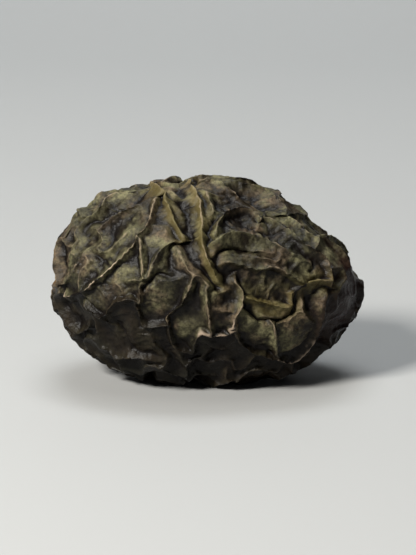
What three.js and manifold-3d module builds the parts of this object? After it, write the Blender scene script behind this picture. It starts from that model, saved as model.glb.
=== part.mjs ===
// A dried date of a small, round, nearly black variety, lying on its side.
// Millimetres, +Z up. The stem end is at -X and the tip at +X, a little lower. The origin is under
// the middle of the fruit, on the surface that it rests on. The fruit is one solid. Its flesh has
// shrunk, so the skin lies in flattened patches with broad folds between them, and the underside
// is pressed flat where it bears on the surface.
import * as THREE from "three";
import { mergeVertices } from "three/addons/utils/BufferGeometryUtils.js";
import Module from "manifold-3d";

const LENGTH = 34;
const WIDTH = 23;
const HEIGHT = 21.8;
const RESTING_DEPTH = 0.9; // how much of the underside the resting face takes off
const AXIS_SLOPE = 5; // degrees that the fruit's own axis dips towards the tip
const BLUNTNESS = 2.3; // exponent of the outline: 2 is an ellipse, more is fuller towards the ends
const STEM_HALF_EXTRA = 0.07; // how much wider the stem half is than the tip half
const PATCH_ROUNDING = 0.42; // how softly a flattened patch runs into the next
const SEGMENTS = 17; // each edge of the starting icosahedron is cut into this many

const SCAR_RADIUS = 2.2; // the round scar that the fruit's cap leaves in the stem end
const SCAR_DEPTH = 1.3;
const SCAR_RIM_HEIGHT = 0.35;
const SCAR_RIM_WIDTH = 0.8;
const TIP_HEIGHT = 0.5; // the nib that the dried style leaves on the other end
const TIP_RADIUS = 1.3;

// Places on the fruit are [along, turn]: millimetres along X from the middle, and degrees around
// the X axis, from 0 at the front (-Y) over 90 at the top to 180 at the back and 270 underneath.

// Flattened patches: [along, turn, how deep the patch cuts into the full outline].
const PATCHES = [
  [-12.0, 42, 1.3],
  [-6.5, 96, 1.0],
  [-5.5, -6, 0.9],
  [1.0, -32, 1.0],
  [7.5, 8, 0.9],
  [5.5, 62, 1.1],
  [12.5, 98, 1.1],
  [13.0, -42, 0.9],
  [-13.0, -38, 1.1],
  [-12.5, 128, 1.1],
  [-1.0, 138, 1.1],
  [9.5, 146, 1.0],
  [13.0, 196, 1.1],
  [3.5, 188, 1.0],
  [-7.0, 192, 1.0],
  [-13.5, 214, 1.0],
  [-3.0, 240, 0.8],
  [8.0, 236, 0.9],
];

// Broad folds: how high each stands out (below 0 it is a furrow), half its width, and its route.
const FOLDS = [
  // a pucker high on the front, with folds running out of it like a star
  { height: -0.7, width: 1.6, route: [[-2.9, 40], [-2.6, 32]] },
  { height: 0.5, width: 1.5, route: [[-5.4, 44], [-5.2, 66], [-5.8, 88]] },
  { height: 0.5, width: 1.5, route: [[0.0, 42], [-0.6, 64], [-0.2, 88]] },
  { height: 0.6, width: 1.4, route: [[-5.2, 34], [-9.0, 38], [-13.6, 24]] },
  { height: 0.6, width: 1.4, route: [[-3.6, 22], [-6.4, 8], [-10.0, -6]] },
  { height: 0.6, width: 1.4, route: [[-0.8, 24], [0.6, 6], [-0.8, -16]] },
  { height: 0.6, width: 1.4, route: [[0.8, 42], [5.2, 36], [11.0, 24]] },
  { height: 0.5, width: 1.4, route: [[1.6, 0], [6.4, -8], [11.4, 4], [14.0, 30]] },
  { height: -0.3, width: 1.6, route: [[-2.7, 48], [-2.8, 70], [-3.0, 94]] },
  { height: -0.5, width: 1.4, route: [[1.4, 22], [5.2, 14], [9.6, 4]] },
  // long folds over the back and the underside
  { height: 0.6, width: 1.4, route: [[-13.0, 96], [-6.0, 116], [3.0, 112], [11.0, 120]] },
  { height: -0.5, width: 1.4, route: [[-11.0, 150], [-2.0, 160], [7.0, 168]] },
  { height: 0.6, width: 1.4, route: [[-12.0, 178], [-3.0, 174], [6.0, 206], [13.0, 224]] },
  { height: 0.5, width: 1.4, route: [[-14.0, -62], [-6.0, -40], [4.0, -56], [12.0, -66]] },
  { height: -0.5, width: 1.4, route: [[-8.0, 226], [1.0, 214], [9.0, 252]] },
  { height: 0.5, width: 1.4, route: [[14.0, 60], [14.6, 110], [14.0, 160]] },
];

const half = new THREE.Vector3(LENGTH / 2, WIDTH / 2, (HEIGHT + RESTING_DEPTH) / 2);

// The full outline is the shape before it shrank: round across, and blunt at both ends.
// Gives its thickness at a place along it, as a share of the width and height.
function thickness(along) {
  const share = Math.min(1, Math.abs(along / half.x));
  return Math.sqrt(1 - share ** BLUNTNESS) * (1 - STEM_HALF_EXTRA * (along / half.x));
}

function outlinePoint([along, turn]) {
  const angle = THREE.MathUtils.degToRad(turn);
  const across = thickness(along);
  return new THREE.Vector3(
    along,
    -Math.cos(angle) * half.y * across,
    Math.sin(angle) * half.z * across,
  );
}

// How far the full outline is from the middle in one direction, found by halving the search.
function outlineReach(direction) {
  const halvings = 30;
  let inside = 0;
  let outside = LENGTH;
  for (let i = 0; i < halvings; i++) {
    const reach = (inside + outside) / 2;
    const point = direction.clone().multiplyScalar(reach);
    const across = Math.hypot(point.y / half.y, point.z / half.z);
    if (Math.abs(point.x) < half.x && across < thickness(point.x)) inside = reach;
    else outside = reach;
  }
  return inside;
}

// The plane that each flattened patch lies in: its normal, and its distance from the middle.
const patchPlanes = PATCHES.map(([along, turn, depth]) => {
  const point = outlinePoint([along, turn]);
  const normal = point.clone().divide(half).divide(half).normalize();
  return { normal, distance: point.dot(normal) - depth };
});

// How far the fruit reaches in one direction once the patches are flattened, blended softly.
function patchedReach(direction, fullReach) {
  let sum = 1;
  for (const { normal, distance } of patchPlanes) {
    const facing = direction.dot(normal);
    if (facing > 0) sum += Math.exp((fullReach - distance / facing) / PATCH_ROUNDING);
  }
  return fullReach - PATCH_ROUNDING * Math.log(sum);
}

const foldLines = FOLDS.map(({ height, width, route }) => {
  const points = route.map(outlinePoint);
  const lines = points.slice(1).map((end, i) => new THREE.Line3(points[i], end));
  return { height, width, lines };
});

// How much the folds lift or lower the skin at a point of the full outline.
function foldLift(point) {
  const nearest = new THREE.Vector3();
  let lift = 0;
  for (const { height, width, lines } of foldLines) {
    const distances = lines.map((line) =>
      line.closestPointToPoint(point, true, nearest).distanceTo(point),
    );
    lift += height * Math.exp(-((Math.min(...distances) / width) ** 2));
  }
  return lift;
}

// The ends: a rimmed pit in the stem end, and a nib on the tip.
function endLift(point) {
  const offAxis = Math.hypot(point.y, point.z);
  if (point.x > 0) return TIP_HEIGHT * Math.exp(-((offAxis / TIP_RADIUS) ** 2));
  const rim = SCAR_RIM_HEIGHT * Math.exp(-(((offAxis - SCAR_RADIUS) / SCAR_RIM_WIDTH) ** 2));
  const pit = SCAR_DEPTH * Math.exp(-((offAxis / SCAR_RADIUS) ** 4));
  return rim - pit;
}

function withoutNormals(geometry) {
  geometry.deleteAttribute("normal");
  geometry.deleteAttribute("uv");
  return mergeVertices(geometry, 1e-4);
}

// A round ball of triangles, each corner moved out to the surface of the fruit.
function fruitGeometry() {
  const geometry = withoutNormals(new THREE.IcosahedronGeometry(1, SEGMENTS - 1));
  const corners = geometry.getAttribute("position");
  const direction = new THREE.Vector3();
  for (let i = 0; i < corners.count; i++) {
    direction.fromBufferAttribute(corners, i).multiply(half).normalize();
    const fullReach = outlineReach(direction);
    const outer = direction.clone().multiplyScalar(fullReach);
    const reach = patchedReach(direction, fullReach) + foldLift(outer) + endLift(outer);
    corners.setXYZ(i, direction.x * reach, direction.y * reach, direction.z * reach);
  }
  return laidDown(geometry);
}

// Slopes the fruit, scales it to its stated size, and stands it with its underside below zero.
function laidDown(geometry) {
  geometry.rotateY(THREE.MathUtils.degToRad(AXIS_SLOPE));
  geometry.computeBoundingBox();
  const { min, max } = geometry.boundingBox;
  geometry.translate(-(min.x + max.x) / 2, -(min.y + max.y) / 2, -min.z);
  geometry.scale(
    LENGTH / (max.x - min.x),
    WIDTH / (max.y - min.y),
    (HEIGHT + RESTING_DEPTH) / (max.z - min.z),
  );
  return geometry.translate(0, 0, -RESTING_DEPTH);
}

// The space under the surface that the fruit lies on.
function underSurface() {
  const slab = new THREE.BoxGeometry(2 * LENGTH, 2 * WIDTH, HEIGHT);
  return withoutNormals(slab.translate(0, 0, -HEIGHT / 2));
}

const wasm = await Module();
wasm.setup();

function solidFrom(geometry) {
  const mesh = new wasm.Mesh({
    numProp: 3,
    vertProperties: new Float32Array(geometry.getAttribute("position").array),
    triVerts: new Uint32Array(geometry.index.array),
  });
  return new wasm.Manifold(mesh);
}

function geometryFrom(solid) {
  const { vertProperties, triVerts } = solid.getMesh();
  const geometry = new THREE.BufferGeometry();
  geometry.setAttribute("position", new THREE.BufferAttribute(vertProperties, 3));
  geometry.setIndex(new THREE.BufferAttribute(triVerts, 1));
  geometry.computeVertexNormals();
  return geometry;
}

const fruit = new THREE.Mesh(
  geometryFrom(solidFrom(fruitGeometry()).subtract(solidFrom(underSurface()))),
  new THREE.MeshStandardMaterial({ color: 0x1c1713, roughness: 0.45, metalness: 0 }),
);
fruit.name = "date_fruit";

const date = new THREE.Group();
date.add(fruit);

export default date;
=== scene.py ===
"""The looks of a dried, nearly black date lying on its side.

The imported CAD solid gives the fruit's size, its broad patches and its resting face. The skin here is
one fine mesh laid over it. Real dates wrinkle because the flesh dries and shrinks under a skin that
doesn't: the script does the same. It takes a ball of even triangles, lays it on the solid, raises the
main folds, and then lets the skin's edges grow, so that it buckles into ridges over the flesh.
Lengths in the skin's own work are millimetres. Blender's objects are in metres.
"""

import math

import bpy
import numpy as np
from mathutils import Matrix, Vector
from mathutils.bvhtree import BVHTree

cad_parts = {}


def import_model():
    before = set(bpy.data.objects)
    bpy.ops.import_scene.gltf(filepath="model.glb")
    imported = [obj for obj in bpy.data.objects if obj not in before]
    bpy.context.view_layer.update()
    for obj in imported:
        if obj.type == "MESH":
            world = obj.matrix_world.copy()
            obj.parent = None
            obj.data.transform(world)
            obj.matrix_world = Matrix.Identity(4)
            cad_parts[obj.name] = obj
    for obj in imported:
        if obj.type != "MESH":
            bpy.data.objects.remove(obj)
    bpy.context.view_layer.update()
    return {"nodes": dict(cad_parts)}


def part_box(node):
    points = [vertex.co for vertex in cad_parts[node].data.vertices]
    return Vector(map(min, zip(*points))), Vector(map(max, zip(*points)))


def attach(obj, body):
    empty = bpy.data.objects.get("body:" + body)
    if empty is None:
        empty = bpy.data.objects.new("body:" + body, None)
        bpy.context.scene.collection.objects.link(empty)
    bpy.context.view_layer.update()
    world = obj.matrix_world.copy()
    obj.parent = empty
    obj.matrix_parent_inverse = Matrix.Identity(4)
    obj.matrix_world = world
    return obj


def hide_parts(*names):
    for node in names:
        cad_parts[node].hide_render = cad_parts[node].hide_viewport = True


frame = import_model()

NODE = "date_fruit"
MM = 0.001  # one millimetre in metres
LOW, HIGH = (np.array(corner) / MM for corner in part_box(NODE))
MIDDLE = (LOW + HIGH) / 2
HALF = (HIGH - LOW) / 2

# --- the skin's sizes, in millimetres, and its stiffness ---

COARSE_PARTS = 49  # each icosahedron edge is cut into this many, and once more in half for the finish
INSET = 0.30  # the flesh lies this far inside the solid, so that the ridges end near its surface
DIP = 0.40  # how far the skin can press into the flesh
FOLD_HEIGHT = 0.42
FOLD_WIDTH = 0.36
GROOVE_DEPTH = 0.36
CRUMPLE = 0.42
CAD_SMOOTHING = 30  # rounds of smoothing that take away the solid's own facets
COARSE_GROWTH = 0.18  # how much the skin grows before the facets gather
FINE_GROWTH = 0.12  # and after it, for the smaller wrinkles
TIGHT_LINE = [(0.84, -34), (0.92, 20)]  # the skin is stretched smooth around here, at the tip
TIGHT_WIDTH = 3.6
LOWER_EDGE_SOFTNESS = 7  # degrees over which the bloom and its painted light end

# The places in FOLDS and GROOVES, and so in what is made from them, were printed by another script
# from pixel positions read off the photo, all but 7 of the 108. They are not an example to follow.
# Main folds of the front: each is a route of places [along, turn]. Along is a share of half the
# fruit's length, from -1 at the stem end to 1 at the tip. Turn is in degrees around the X axis, from
# 0 at the front (-Y) to 90 at the top.
FOLDS = {
    "upper_left_border": [(-0.86, -4), (-0.68, 12), (-0.56, 24), (-0.42, 38), (-0.36, 48), (-0.34, 62)],
    "left_facet_side": [(-0.42, 38), (-0.40, 26), (-0.40, 14), (-0.42, 0)],
    "left_pleat": [(-0.36, 96), (-0.34, 82), (-0.26, 64), (-0.22, 50), (-0.16, 38)],
    "right_pleat": [(-0.12, 96), (-0.10, 80), (-0.06, 64), (-0.04, 50), (-0.04, 38), (0.00, 26), (0.06, 14)],
    "left_of_pucker": [(-0.22, 34), (-0.30, 26), (-0.36, 16), (-0.48, 12)],
    "under_pucker": [(-0.18, 30), (-0.12, 18), (0.00, 10)],
    "arch": [(0.06, 40), (0.10, 54), (0.22, 64), (0.36, 60), (0.46, 54)],
    "upper_long_fold": [(0.06, 34), (0.16, 40), (0.32, 40), (0.48, 32), (0.60, 26)],
    "lower_long_fold": [(0.12, 24), (0.28, 20), (0.42, 20), (0.58, 12)],
    "right_shelf": [(0.24, 2), (0.40, -4), (0.50, -6), (0.52, 4), (0.64, 10), (0.74, 12)],
    "left_lobe": [(-0.74, -10), (-0.64, -14), (-0.58, -4), (-0.52, 0), (-0.44, 0), (-0.38, -14), (-0.24, -12)],
    "middle_lobe": [(-0.10, 14), (-0.16, 0), (-0.24, -10), (-0.20, -28), (-0.10, -32)],
    "middle_lobe_edge": [(-0.10, -32), (-0.04, -18), (0.04, -18), (0.12, -18), (0.16, -10)],
    "middle_rib": [(-0.02, 10), (0.00, -4), (0.02, -16)],
    "right_lobe": [(0.16, 12), (0.20, 2), (0.16, -10), (0.18, -22), (0.28, -34), (0.42, -42)],
    "right_lobe_edge": [(0.42, -42), (0.54, -52), (0.64, -42), (0.70, -18), (0.72, -2)],
    "right_rib": [(0.40, -16), (0.42, -42)],
    "right_border": [(0.46, 54), (0.58, 42), (0.70, 30), (0.74, 12)],
}
GOLDEN_FOLDS = ("left_pleat", "right_pleat", "right_shelf")
# Painted highlight: bright cream lines are painted on the crests along these stretches of fold.
HIGHLIGHT_EDGES = (FOLDS["upper_left_border"][:3], FOLDS["middle_lobe_edge"][1:], FOLDS["right_lobe_edge"][:3])
# Below this line of places the front keeps no pale bloom and stays dark as painted shade; above it the bloom
# is partly painted light. It follows the lower edges of the lobes.
LOWER_EDGE = [
    *FOLDS["left_lobe"],
    *FOLDS["middle_lobe"][3:],
    *FOLDS["middle_lobe_edge"][1:],
    *FOLDS["right_lobe"][3:],
    *FOLDS["right_lobe_edge"][1:],
]
GROOVES = {
    "pucker": [(-0.12, 35), (-0.12, 31)],
    "between_pleats": [(-0.22, 90), (-0.16, 68), (-0.12, 50), (-0.12, 36)],
    "out_of_pucker": [(-0.12, 30), (-0.02, 18), (0.06, 10)],
    "beside_arch": [(0.04, 52), (0.00, 42), (0.02, 38)],
    "between_long_folds": [(0.10, 30), (0.22, 30), (0.40, 28)],
    "left_hollow": [(-0.24, 14), (-0.32, 16), (-0.40, 8)],
    "under_shelf": [(0.24, -2), (0.34, -12), (0.50, -12), (0.52, -2)],
}


# --- a ball of even triangles ---


def geodesic_ball(parts):
    """Corners on the unit sphere, and triangles: an icosahedron with each edge cut into parts."""
    golden = (1 + math.sqrt(5)) / 2
    tops = [(0, a, b * golden) for a in (-1, 1) for b in (-1, 1)]
    tops = np.array([p[k:] + p[:k] for p in tops for k in range(3)], float)
    near = [{j for j in range(12) if i != j and np.dot(tops[i], tops[j]) > 1} for i in range(12)]
    faces = [
        (a, b, c) for a in range(12) for b in near[a] for c in near[a] & near[b] if a < b < c
    ]
    corners, triangles = [], []
    for a, b, c in faces:
        rows = []
        for i in range(parts + 1):
            first = len(corners)
            corners += [tops[a] * i + tops[b] * j + tops[c] * (parts - i - j) for j in range(parts + 1 - i)]
            rows.append(range(first, len(corners)))
        for low, high in zip(rows, rows[1:]):
            triangles += [(low[j], high[j], low[j + 1]) for j in range(len(high))]
            triangles += [(high[j], high[j + 1], low[j + 1]) for j in range(len(high) - 1)]
    corners, triangles = np.array(corners), np.array(triangles)
    _, first, same = np.unique(np.round(corners, 4), axis=0, return_index=True, return_inverse=True)
    corners, triangles = corners[first], same.reshape(-1)[triangles]
    a, b, c = (corners[triangles[:, k]] for k in range(3))
    inward = np.einsum("ij,ij->i", np.cross(b - a, c - a), a) < 0
    triangles[inward] = triangles[inward][:, ::-1]
    return corners / np.linalg.norm(corners, axis=1)[:, None], triangles


class Net:
    """The triangles of a skin, and each corner's neighbours. Twelve corners have five, the rest six."""

    def __init__(self, triangles, count):
        self.triangles, self.count = triangles, count
        ends = np.concatenate([triangles[:, [k, (k + 1) % 3]] for k in range(3)])
        ends = ends[np.argsort(ends[:, 0], kind="stable")]
        start = np.searchsorted(ends[:, 0], np.arange(count + 1))
        self.spare = (6 - np.diff(start)).astype(np.float32)[:, None]
        self.share = 1 / (6 - self.spare)
        self.around = np.tile(np.arange(count)[:, None], (1, 6))
        for k in range(6):
            has = np.diff(start) > k
            self.around[has, k] = ends[start[:-1][has] + k, 1]
        self.real = (self.around != np.arange(count)[:, None]).astype(np.float32)

    def mean(self, value):
        """The mean of a value, one row for each corner, over each corner's neighbours."""
        return (value[self.around].sum(1) - self.spare * value) * self.share

    def smooth(self, value, times):
        for _ in range(times):
            value = (value + self.mean(value)) / 2
        return value

    def normals(self, x):
        a, b, c = (x[self.triangles[:, k]] for k in range(3))
        face = np.cross(b - a, c - a)
        total = np.stack(
            [
                sum(np.bincount(self.triangles[:, k], face[:, axis], self.count) for k in range(3))
                for axis in range(3)
            ],
            axis=1,
        )
        return total / np.linalg.norm(total, axis=1)[:, None]

    def beside(self):
        """Each triangle's three neighbours, across its edges."""
        t = self.triangles
        ends = np.sort(np.concatenate([t[:, [k, (k + 1) % 3]] for k in range(3)]), axis=1)
        pairs = np.argsort(ends @ [self.count, 1], kind="stable").reshape(-1, 2)
        other = np.empty(len(ends), int)
        other[pairs] = pairs[:, ::-1] % len(t)
        return other.reshape(3, -1).T

    def halved(self, value):
        """Loop subdivision: the net with each edge halved, and the value carried over smoothly."""
        t = self.triangles
        edges = np.sort(np.concatenate([t[:, [k, (k + 1) % 3]] for k in range(3)]), axis=1)
        edges, which = np.unique(edges, axis=0, return_inverse=True)
        which = which.reshape(3, -1)
        across = np.concatenate([t[:, 2], t[:, 0], t[:, 1]])
        facing = np.stack(
            [np.bincount(which.ravel(), value[across, k], len(edges)) for k in range(value.shape[1])], axis=1
        )
        middles = 3 / 8 * value[edges].sum(1) + 1 / 8 * facing
        corners = 5 / 8 * value + 3 / 8 * self.mean(value)
        ab, bc, ca = which + self.count
        finer = np.concatenate(
            [
                np.stack([t[:, 0], ab, ca], 1),
                np.stack([t[:, 1], bc, ab], 1),
                np.stack([t[:, 2], ca, bc], 1),
                np.stack([ab, bc, ca], 1),
            ]
        )
        return Net(finer, self.count + len(edges)), np.concatenate([corners, middles])


# --- the flesh: the solid's own surface, softened, with the main folds raised on it ---

solid = frame["nodes"][NODE].data
solid_tree = BVHTree.FromPolygons(
    [v.co for v in solid.vertices], [p.vertices[:] for p in solid.polygons]
)


def reach(start, direction):
    """How far the solid's surface is from a place inside it, in millimetres."""
    return solid_tree.ray_cast(Vector(start * MM), Vector(direction))[3] / MM


def flesh_surface(ball, net):
    """The ball's corners moved out to the solid, with the solid's own facets smoothed away."""
    directions = ball * HALF
    directions /= np.linalg.norm(directions, axis=1)[:, None]
    far = np.array([[reach(MIDDLE, d)] for d in directions])
    return MIDDLE + directions * net.smooth(far, CAD_SMOOTHING), directions, far


def place(along, turn):
    """The point of the solid's surface at a share of half its length, and degrees around it."""
    start = MIDDLE + (along * HALF[0], 0, 0)
    out = np.array([0, -math.cos(math.radians(turn)), math.sin(math.radians(turn))])
    return start + out * reach(start, out)


def curve_through(route, steps=6):
    """Points of a smooth curve through a route's places, on the solid's surface."""
    p = np.array([route[0], *route, route[-1]], float)
    points = []
    for before, a, b, after in zip(p, p[1:], p[2:], p[3:]):
        for t in np.arange(steps) / steps:
            bend = 2 * before - 5 * a + 4 * b - after + (3 * a - before - 3 * b + after) * t
            points.append(a + 0.5 * t * (b - before + bend * t))
    return np.array([place(*q) for q in [*points, route[-1]]])


def gap_to(x, curve):
    """Each corner's distance to a curve, given as points."""
    nearest = np.full(len(x), np.inf)
    for a, b in zip(curve, curve[1:]):
        ab = b - a
        t = np.clip((x - a) @ ab / (ab @ ab), 0, 1)
        nearest = np.minimum(nearest, np.linalg.norm(x - a - t[:, None] * ab, axis=1))
    return nearest


def strongest(x, routes, width):
    """From 0 to 1: how close each corner is to any of the routes."""
    return np.max([np.exp(-((gap_to(x, curve_through(r)) / width) ** 2)) for r in routes.values()], axis=0)


def bloom_and_painted_light(x, out):
    """From 0 to 1, pale bloom that is partly real and partly painted light: on the front above the lower edge
    of the lobes, below which it leaves painted shade, and at the back on what faces up.
    """
    along = (x[:, 0] - MIDDLE[0]) / HALF[0]
    turn = np.degrees(np.arctan2(x[:, 2] - MIDDLE[2], MIDDLE[1] - x[:, 1]))
    front = (turn - np.interp(along, *np.transpose(LOWER_EDGE))) / LOWER_EDGE_SOFTNESS
    return np.where(x[:, 1] < MIDDLE[1], front, 0.5 + 1.6 * out[:, 2]).clip(0, 1)


def ripple(x, size, seed, waves=24):
    """Smooth noise of about -1 to 1, from waves of about one size in random directions."""
    draw = np.random.default_rng(seed)
    direction = draw.normal(size=(waves, 3))
    direction /= np.linalg.norm(direction, axis=1)[:, None]
    direction *= 2 * math.pi / size * draw.uniform(0.7, 1.4, waves)[:, None]
    shift = draw.uniform(0, 2 * math.pi, waves)
    return np.cos(x @ direction.T + shift).sum(1) / math.sqrt(waves / 2)


# --- the skin: edges grow, and it buckles over the flesh ---


def buckle(net, flesh, start, growth, steps, bend, lift, press, dip, hold=0.004):
    """Moves the skin until its grown edges fit. lift and press are how firmly the flesh holds the
    skin against standing off it and against pressing in, and hold is against sliding over it."""
    out = net.normals(flesh).astype(np.float32)
    flesh, x = flesh.astype(np.float32), start.astype(np.float32)
    length = np.linalg.norm(flesh[net.around] - flesh[:, None], axis=2)
    growing = (growth[net.around] + growth[:, None]).astype(np.float32) / 2
    flat = net.mean(flesh) - flesh
    speed = np.zeros_like(x)
    slowing, pace, top_speed, growing_time = 0.9, 0.16, 0.05, 0.6 * steps
    for step in range(steps):
        grown = length * (1 + growing * np.float32(min(1, (step + 1) / growing_time)))
        edge = x[net.around] - x[:, None]
        span = np.sqrt(np.einsum("ijk,ijk->ij", edge, edge)) + np.float32(1e-9)
        force = np.einsum("ij,ijk->ik", (1 - grown / span) * net.real, edge)
        bent = edge.sum(1) * net.share - flat
        force += 6 * bend * (bent - net.mean(bent))
        off = x - flesh
        height = np.einsum("ij,ij->i", off, out)[:, None]
        force -= np.where(height > 0, lift, press).astype(np.float32) * height * out
        force -= np.float32(hold) * (off - height * out)
        speed = np.float32(slowing) * speed + np.float32(pace) * force
        fast = np.sqrt(np.einsum("ij,ij->i", speed, speed))[:, None]
        x = x + speed * np.minimum(1, np.float32(top_speed) / np.maximum(fast, 1e-9))
        depth = np.einsum("ij,ij->i", x - flesh, out)[:, None] + dip
        x -= np.minimum(depth, 0) * out
        x[:, 2] = np.maximum(x[:, 2], 0)
    return x.astype(float)


def faceted(net, x, turns, moves, alike):
    """Gathers the skin into flat facets with crisp edges. Each triangle's direction leans to those of
    its neighbours that are nearly like it, and the corners then move to suit."""
    t, beside = net.triangles, net.beside()
    face = np.cross(x[t[:, 1]] - x[t[:, 0]], x[t[:, 2]] - x[t[:, 0]])
    face /= np.linalg.norm(face, axis=1)[:, None]
    for _ in range(turns):
        other = face[beside]
        likeness = np.exp(-((other - face[:, None]) ** 2).sum(2) / (2 * alike**2))
        face = face + np.einsum("ij,ijk->ik", likeness, other)
        face /= np.linalg.norm(face, axis=1)[:, None]
    for _ in range(moves):
        centre = x[t].mean(1)
        shift = np.zeros_like(x)
        for k in range(3):
            push = face * np.einsum("ij,ij->i", face, centre - x[t[:, k]])[:, None]
            for axis in range(3):
                shift[:, axis] += np.bincount(t[:, k], push[:, axis], net.count)
        x = x + shift * net.share
    return x


def wrinkled_skin():
    """The finished skin: its net, its corners, and what the material needs to know at each corner."""
    ball, triangles = geodesic_ball(COARSE_PARTS)
    net = Net(triangles, len(ball))
    x, directions, far = flesh_surface(ball, net)
    stem_end = directions[:, 0] < -0.97
    scar = (MIDDLE + directions * far)[stem_end][np.argmin(far[stem_end, 0])]
    off_scar = np.where(x[:, 0] < MIDDLE[0], np.linalg.norm((x - scar)[:, 1:], axis=1), np.inf)
    scarred = np.exp(-((off_scar / 3.0) ** 4))
    tight_line = np.array([place(*p) for p in TIGHT_LINE])
    tight = np.exp(-((gap_to(x, tight_line) / TIGHT_WIDTH) ** 2))
    raised = FOLD_HEIGHT * strongest(x, FOLDS, FOLD_WIDTH)
    raised = raised - GROOVE_DEPTH * strongest(x, GROOVES, FOLD_WIDTH)
    shifted = x + 0.5 * np.column_stack([ripple(x, 4, seed) for seed in (21, 22, 23)])
    veins = CRUMPLE * (0.5 - np.abs(ripple(shifted, 6.0, 7)))
    veins = veins * (1 - strongest(x, FOLDS, 1.6)) * (1 - 0.8 * tight)
    flesh = x + net.normals(x) * (raised + veins * (1 - scarred) - INSET)[:, None]
    growth = COARSE_GROWTH * (1 - 0.85 * scarred) * (1 - 0.65 * tight)
    uneven = 0.05 * (ripple(x, 2.2, 3) + 0.5 * ripple(x, 1.1, 4))
    start = flesh + net.normals(flesh) * uneven[:, None]
    skin = buckle(net, flesh, start, growth, steps=260, bend=0.08, lift=0.08, press=0.25, dip=DIP)
    skin = faceted(net, skin, turns=9, moves=12, alike=0.28)
    edge_highlight = np.max([np.exp(-((gap_to(x, curve_through(r)) / 0.3) ** 2)) for r in HIGHLIGHT_EDGES], axis=0)
    golden = strongest(x, {name: FOLDS[name] for name in GOLDEN_FOLDS}, 1.2)
    values = np.column_stack([skin, scarred, tight, off_scar.clip(0, 20), golden, edge_highlight])
    net, values = net.halved(values)
    skin, (scarred, tight, off_scar, golden, edge_highlight) = values[:, :3], values[:, 3:].T
    growth = FINE_GROWTH * (1 - 0.85 * scarred) * (1 - 0.7 * tight)
    uneven = 0.015 * (ripple(skin, 1.2, 11) + ripple(skin, 0.7, 12))
    start = skin + net.normals(skin) * uneven[:, None]
    skin = buckle(net, skin, start, growth, steps=90, bend=0.06, lift=0.08, press=0.08, dip=DIP, hold=0.01)
    fine = 0.035 * (0.5 - np.abs(ripple(skin, 1.5, 31, 40))) + 0.02 * ripple(skin, 0.8, 32, 40)
    skin += net.normals(skin) * (fine * (1 - 0.6 * tight))[:, None]
    skin[:, 2] -= skin[:, 2].min()
    out = net.normals(skin)
    crest = np.einsum("ij,ij->i", skin - net.smooth(skin, 8), out)
    relief = np.einsum("ij,ij->i", skin - net.smooth(skin, 80), out)
    pale = bloom_and_painted_light(skin, net.smooth(out, 12))
    return net, skin, {
        "crest": crest,
        "relief": relief,
        "pale": pale,
        "tight": tight,
        "off_scar": off_scar,
        "golden": golden,
        "edge_highlight": edge_highlight,
    }


def date_object():
    net, skin, facts = wrinkled_skin()
    mesh = bpy.data.meshes.new("date_skin")
    mesh.from_pydata((skin * MM).tolist(), [], net.triangles.tolist())
    mesh.polygons.foreach_set("use_smooth", np.ones(len(net.triangles), bool))
    for name, value in facts.items():
        mesh.attributes.new(name, "FLOAT", "POINT").data.foreach_set("value", value.astype(np.float32))
    mesh.materials.append(skin_material())
    date = bpy.data.objects.new("date_skin", mesh)
    bpy.context.scene.collection.objects.link(date)
    return date


# --- materials ---


class Nodes:
    """A material's node tree, with short ways to add the nodes used here."""

    def __init__(self, name):
        self.material = bpy.data.materials.new(name)
        self.material.use_nodes = True
        self.tree = self.material.node_tree
        self.shader = self.tree.nodes["Principled BSDF"]

    def add(self, kind, inputs=(), **settings):
        node = self.tree.nodes.new(kind)
        for name, value in settings.items():
            setattr(node, name, value)
        for name, value in dict(inputs).items():
            self.set(node.inputs[name], value)
        return node

    def set(self, socket, value):
        if isinstance(value, bpy.types.NodeSocket):
            self.tree.links.new(value, socket)
        else:
            socket.default_value = value

    def fact(self, name):
        return self.add("ShaderNodeAttribute", attribute_name=name).outputs["Fac"]

    def where(self):
        return self.add("ShaderNodeTexCoord").outputs["Object"]

    def noise(self, scale, detail=3, roughness=0.55, distortion=0.0):
        values = {"Vector": self.where(), "Scale": scale, "Detail": detail, "Roughness": roughness}
        values["Distortion"] = distortion
        return self.add("ShaderNodeTexNoise", values).outputs["Fac"]

    def span(self, value, low, high, to_low=0.0, to_high=1.0):
        """Maps low..high to to_low..to_high smoothly, and holds it there outside."""
        values = {"Value": value, "From Min": low, "From Max": high, "To Min": to_low, "To Max": to_high}
        return self.add("ShaderNodeMapRange", values, interpolation_type="SMOOTHSTEP").outputs["Result"]

    def math(self, operation, a, b):
        node = self.add("ShaderNodeMath", operation=operation)
        self.set(node.inputs[0], a)
        self.set(node.inputs[1], b)
        return node.outputs["Value"]

    def mix(self, share, a, b):
        node = self.add("ShaderNodeMix", data_type="RGBA")
        for name, value in {"Factor_Float": share, "A_Color": a, "B_Color": b}.items():
            socket = next(s for s in node.inputs if s.identifier == name)
            self.set(socket, (*value, 1) if isinstance(value, tuple) else value)
        return next(s for s in node.outputs if s.identifier == "Result_Color")

    def bump(self, height, distance, strength, normal=None):
        values = {"Height": height, "Distance": distance, "Strength": strength}
        if normal is not None:
            values["Normal"] = normal
        return self.add("ShaderNodeBump", values).outputs["Normal"]


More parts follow.
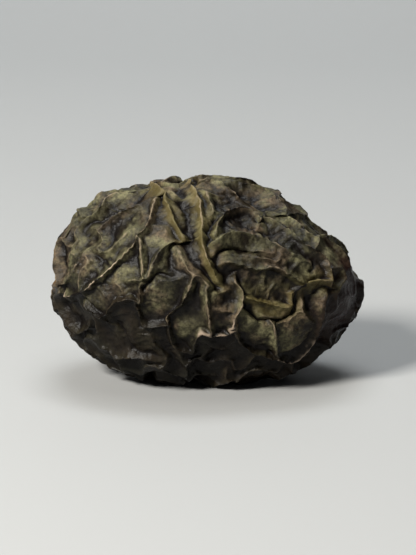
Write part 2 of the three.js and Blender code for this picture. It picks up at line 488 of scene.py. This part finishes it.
def skin_material():
    n = Nodes("date_skin")
    crest, relief, tight, golden = (n.fact(name) for name in ("crest", "relief", "tight", "golden"))
    off_scar, pale, edge_highlight = (n.fact(name) for name in ("off_scar", "pale", "edge_highlight"))
    cloud = n.noise(160, detail=4)
    grain = n.noise(2600, detail=5, roughness=0.65)

    # Painted shade: the hollows of the relief get a darker colour than the flats; high marks what stands clear
    # of them.
    high = n.span(relief, -0.26, 0.05)
    flat = n.mix(n.span(cloud, 0.35, 0.65), (0.005, 0.0045, 0.003), (0.008, 0.0055, 0.003))
    colour = n.mix(high, (0.003, 0.002, 0.0015), flat)
    # Pale bloom, partly real powder and partly painted light and sheen: kept off the hollows, and strongest
    # where the pale attribute marks the lit upper front and the faces that look up.
    bloom_and_sheen = n.math("MULTIPLY", n.span(n.noise(420, detail=6, roughness=0.7), 0.36, 0.60), high)
    bloom_and_sheen = n.math("MULTIPLY", bloom_and_sheen, n.span(grain, 0.35, 0.62, 0.3, 1.0))
    bloom_and_sheen = n.math("MULTIPLY", bloom_and_sheen, n.span(pale, 0.0, 1.0, 0.07, 1.0))
    bloom_and_sheen = n.math("MULTIPLY", bloom_and_sheen, n.span(n.noise(230, detail=2), 0.36, 0.54, 0.40, 1.0))
    powder_and_sheen = n.mix(n.span(n.noise(280, detail=3), 0.46, 0.62), (0.150, 0.138, 0.072), (0.150, 0.108, 0.066))
    colour = n.mix(n.math("MULTIPLY", bloom_and_sheen, 0.76), colour, powder_and_sheen)
    tint = n.math("MULTIPLY", n.math("MULTIPLY", golden, high), 0.6)
    colour = n.mix(tint, colour, (0.092, 0.071, 0.024))
    # Painted highlight: thin pale lines along the crests, stronger where the pale attribute marks the lit
    # side.
    edge = n.math("MULTIPLY", n.span(crest, 0.06, 0.13), n.span(n.noise(300, detail=5), 0.42, 0.60))
    edge = n.math("MULTIPLY", edge, n.span(pale, 0.0, 1.0, 0.08, 0.62))
    colour = n.mix(edge, colour, (0.17, 0.13, 0.085))
    # Painted highlight: bright cream lines on the crests of a few folds.
    painted_edge_highlight = n.math("MULTIPLY", n.math("MULTIPLY", edge_highlight, n.span(crest, 0.0, 0.08)), 0.8)
    colour = n.mix(painted_edge_highlight, colour, (0.34, 0.26, 0.19))
    colour = n.mix(n.math("MULTIPLY", tight, 0.92), colour, (0.010, 0.0028, 0.0022))
    colour = n.mix(n.span(off_scar, 2.0, 1.3), colour, (0.003, 0.002, 0.0015))
    ragged = n.math("ADD", off_scar, n.span(n.noise(700, detail=4), 0.3, 0.7, -0.5, 0.5))
    ring = n.math("MULTIPLY", n.span(ragged, 1.3, 1.9), n.span(ragged, 3.4, 2.6))
    amber = n.mix(n.span(n.noise(1500, detail=5), 0.35, 0.65), (0.035, 0.019, 0.008), (0.14, 0.080, 0.030))
    colour = n.mix(ring, colour, amber)

    rough = n.span(n.math("ADD", bloom_and_sheen, n.math("MULTIPLY", tight, -0.5)), -0.4, 0.6, 0.30, 0.62)
    normal = n.bump(grain, 0.00010, 0.7)
    normal = n.bump(n.noise(900, detail=4, roughness=0.6), 0.00028, 0.8, normal)

    n.set(n.shader.inputs["Base Color"], colour)
    n.set(n.shader.inputs["Roughness"], rough)
    n.set(n.shader.inputs["Normal"], normal)
    n.set(n.shader.inputs["Specular IOR Level"], 0.13)
    return n.material


def stage_material():
    n = Nodes("pale_stage")
    n.set(n.shader.inputs["Base Color"], (0.26, 0.26, 0.256, 1))
    n.set(n.shader.inputs["Roughness"], 0.7)
    return n.material


# --- stage, lights and camera ---


def stage_object():
    """A pale floor that sweeps up into a wall behind the fruit."""
    front, back, height, bend, side, steps = -0.9, 0.55, 1.0, 0.35, 1.4, 24
    profile = [(front, 0.0)]
    for k in range(steps + 1):
        angle = k / steps * math.pi / 2
        profile.append((back - bend + bend * math.sin(angle), bend * (1 - math.cos(angle))))
    profile.append((back, height))
    corners = [(x, y, z) for y, z in profile for x in (-side, side)]
    faces = [(2 * k, 2 * k + 1, 2 * k + 3, 2 * k + 2) for k in range(len(profile) - 1)]
    mesh = bpy.data.meshes.new("stage")
    mesh.from_pydata(corners, [], faces)
    mesh.polygons.foreach_set("use_smooth", np.ones(len(faces), bool))
    mesh.materials.append(stage_material())
    stage = bpy.data.objects.new("stage", mesh)
    bpy.context.scene.collection.objects.link(stage)
    return stage


def aim(thing, target):
    thing.rotation_euler = (Vector(target) - thing.location).to_track_quat("-Z", "Y").to_euler()


def soft_light(name, place, size, power, tint, target=MIDDLE * MM):
    lamp = bpy.data.lights.new(name, "AREA")
    lamp.size, lamp.energy, lamp.color = size, power, tint
    light = bpy.data.objects.new(name, lamp)
    light.location = place
    aim(light, target)
    bpy.context.scene.collection.objects.link(light)


def camera(elevation, lens, width_shown):
    """Looks along +Y and down by the elevation, so far away that width_shown fills the frame."""
    data = bpy.data.cameras.new("camera")
    data.sensor_fit, data.lens = "HORIZONTAL", lens
    data.clip_start = 0.01
    distance = width_shown * lens / data.sensor_width
    angle = math.radians(elevation)
    eye = bpy.data.objects.new("camera", data)
    eye.location = Vector(MIDDLE * MM) + distance * Vector((0, -math.cos(angle), math.sin(angle)))
    aim(eye, MIDDLE * MM)
    bpy.context.scene.collection.objects.link(eye)
    bpy.context.scene.camera = eye


def world(fill, seen):
    """A dim even fill, which the camera sees as a pale wall where the stage ends."""
    studio = bpy.data.worlds.new("studio")
    studio.use_nodes = True
    tree = studio.node_tree
    background = tree.nodes["Background"]
    colour = tree.nodes.new("ShaderNodeMix")
    colour.data_type = "RGBA"
    rays = tree.nodes.new("ShaderNodeLightPath")
    tree.links.new(rays.outputs["Is Camera Ray"], colour.inputs[0])
    for socket in colour.inputs:
        if socket.identifier in ("A_Color", "B_Color"):
            socket.default_value = (*(fill if socket.identifier == "A_Color" else seen), 1)
    result = next(s for s in colour.outputs if s.identifier == "Result_Color")
    tree.links.new(result, background.inputs["Color"])
    bpy.context.scene.world = studio


date = date_object()
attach(date, "root")
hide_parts(NODE)
stage_object()

length = float(HIGH[0] - LOW[0]) * MM
camera(elevation=15, lens=200, width_shown=length / 0.76)
bpy.context.scene.view_settings.view_transform = "Standard"
world(fill=(0.038, 0.040, 0.043), seen=(0.55, 0.57, 0.60))
soft_light("key", (-0.20, -0.21, 0.25), 0.08, 3.4, (1.0, 0.98, 0.93))
soft_light("overhead", (0.03, -0.02, 0.44), 0.26, 0.7, (0.98, 1.0, 0.98))
soft_light("backdrop", (0.0, 0.20, 0.60), 0.30, 4.2, (0.91, 0.96, 1.0), target=(0, 0.50, 0.20))
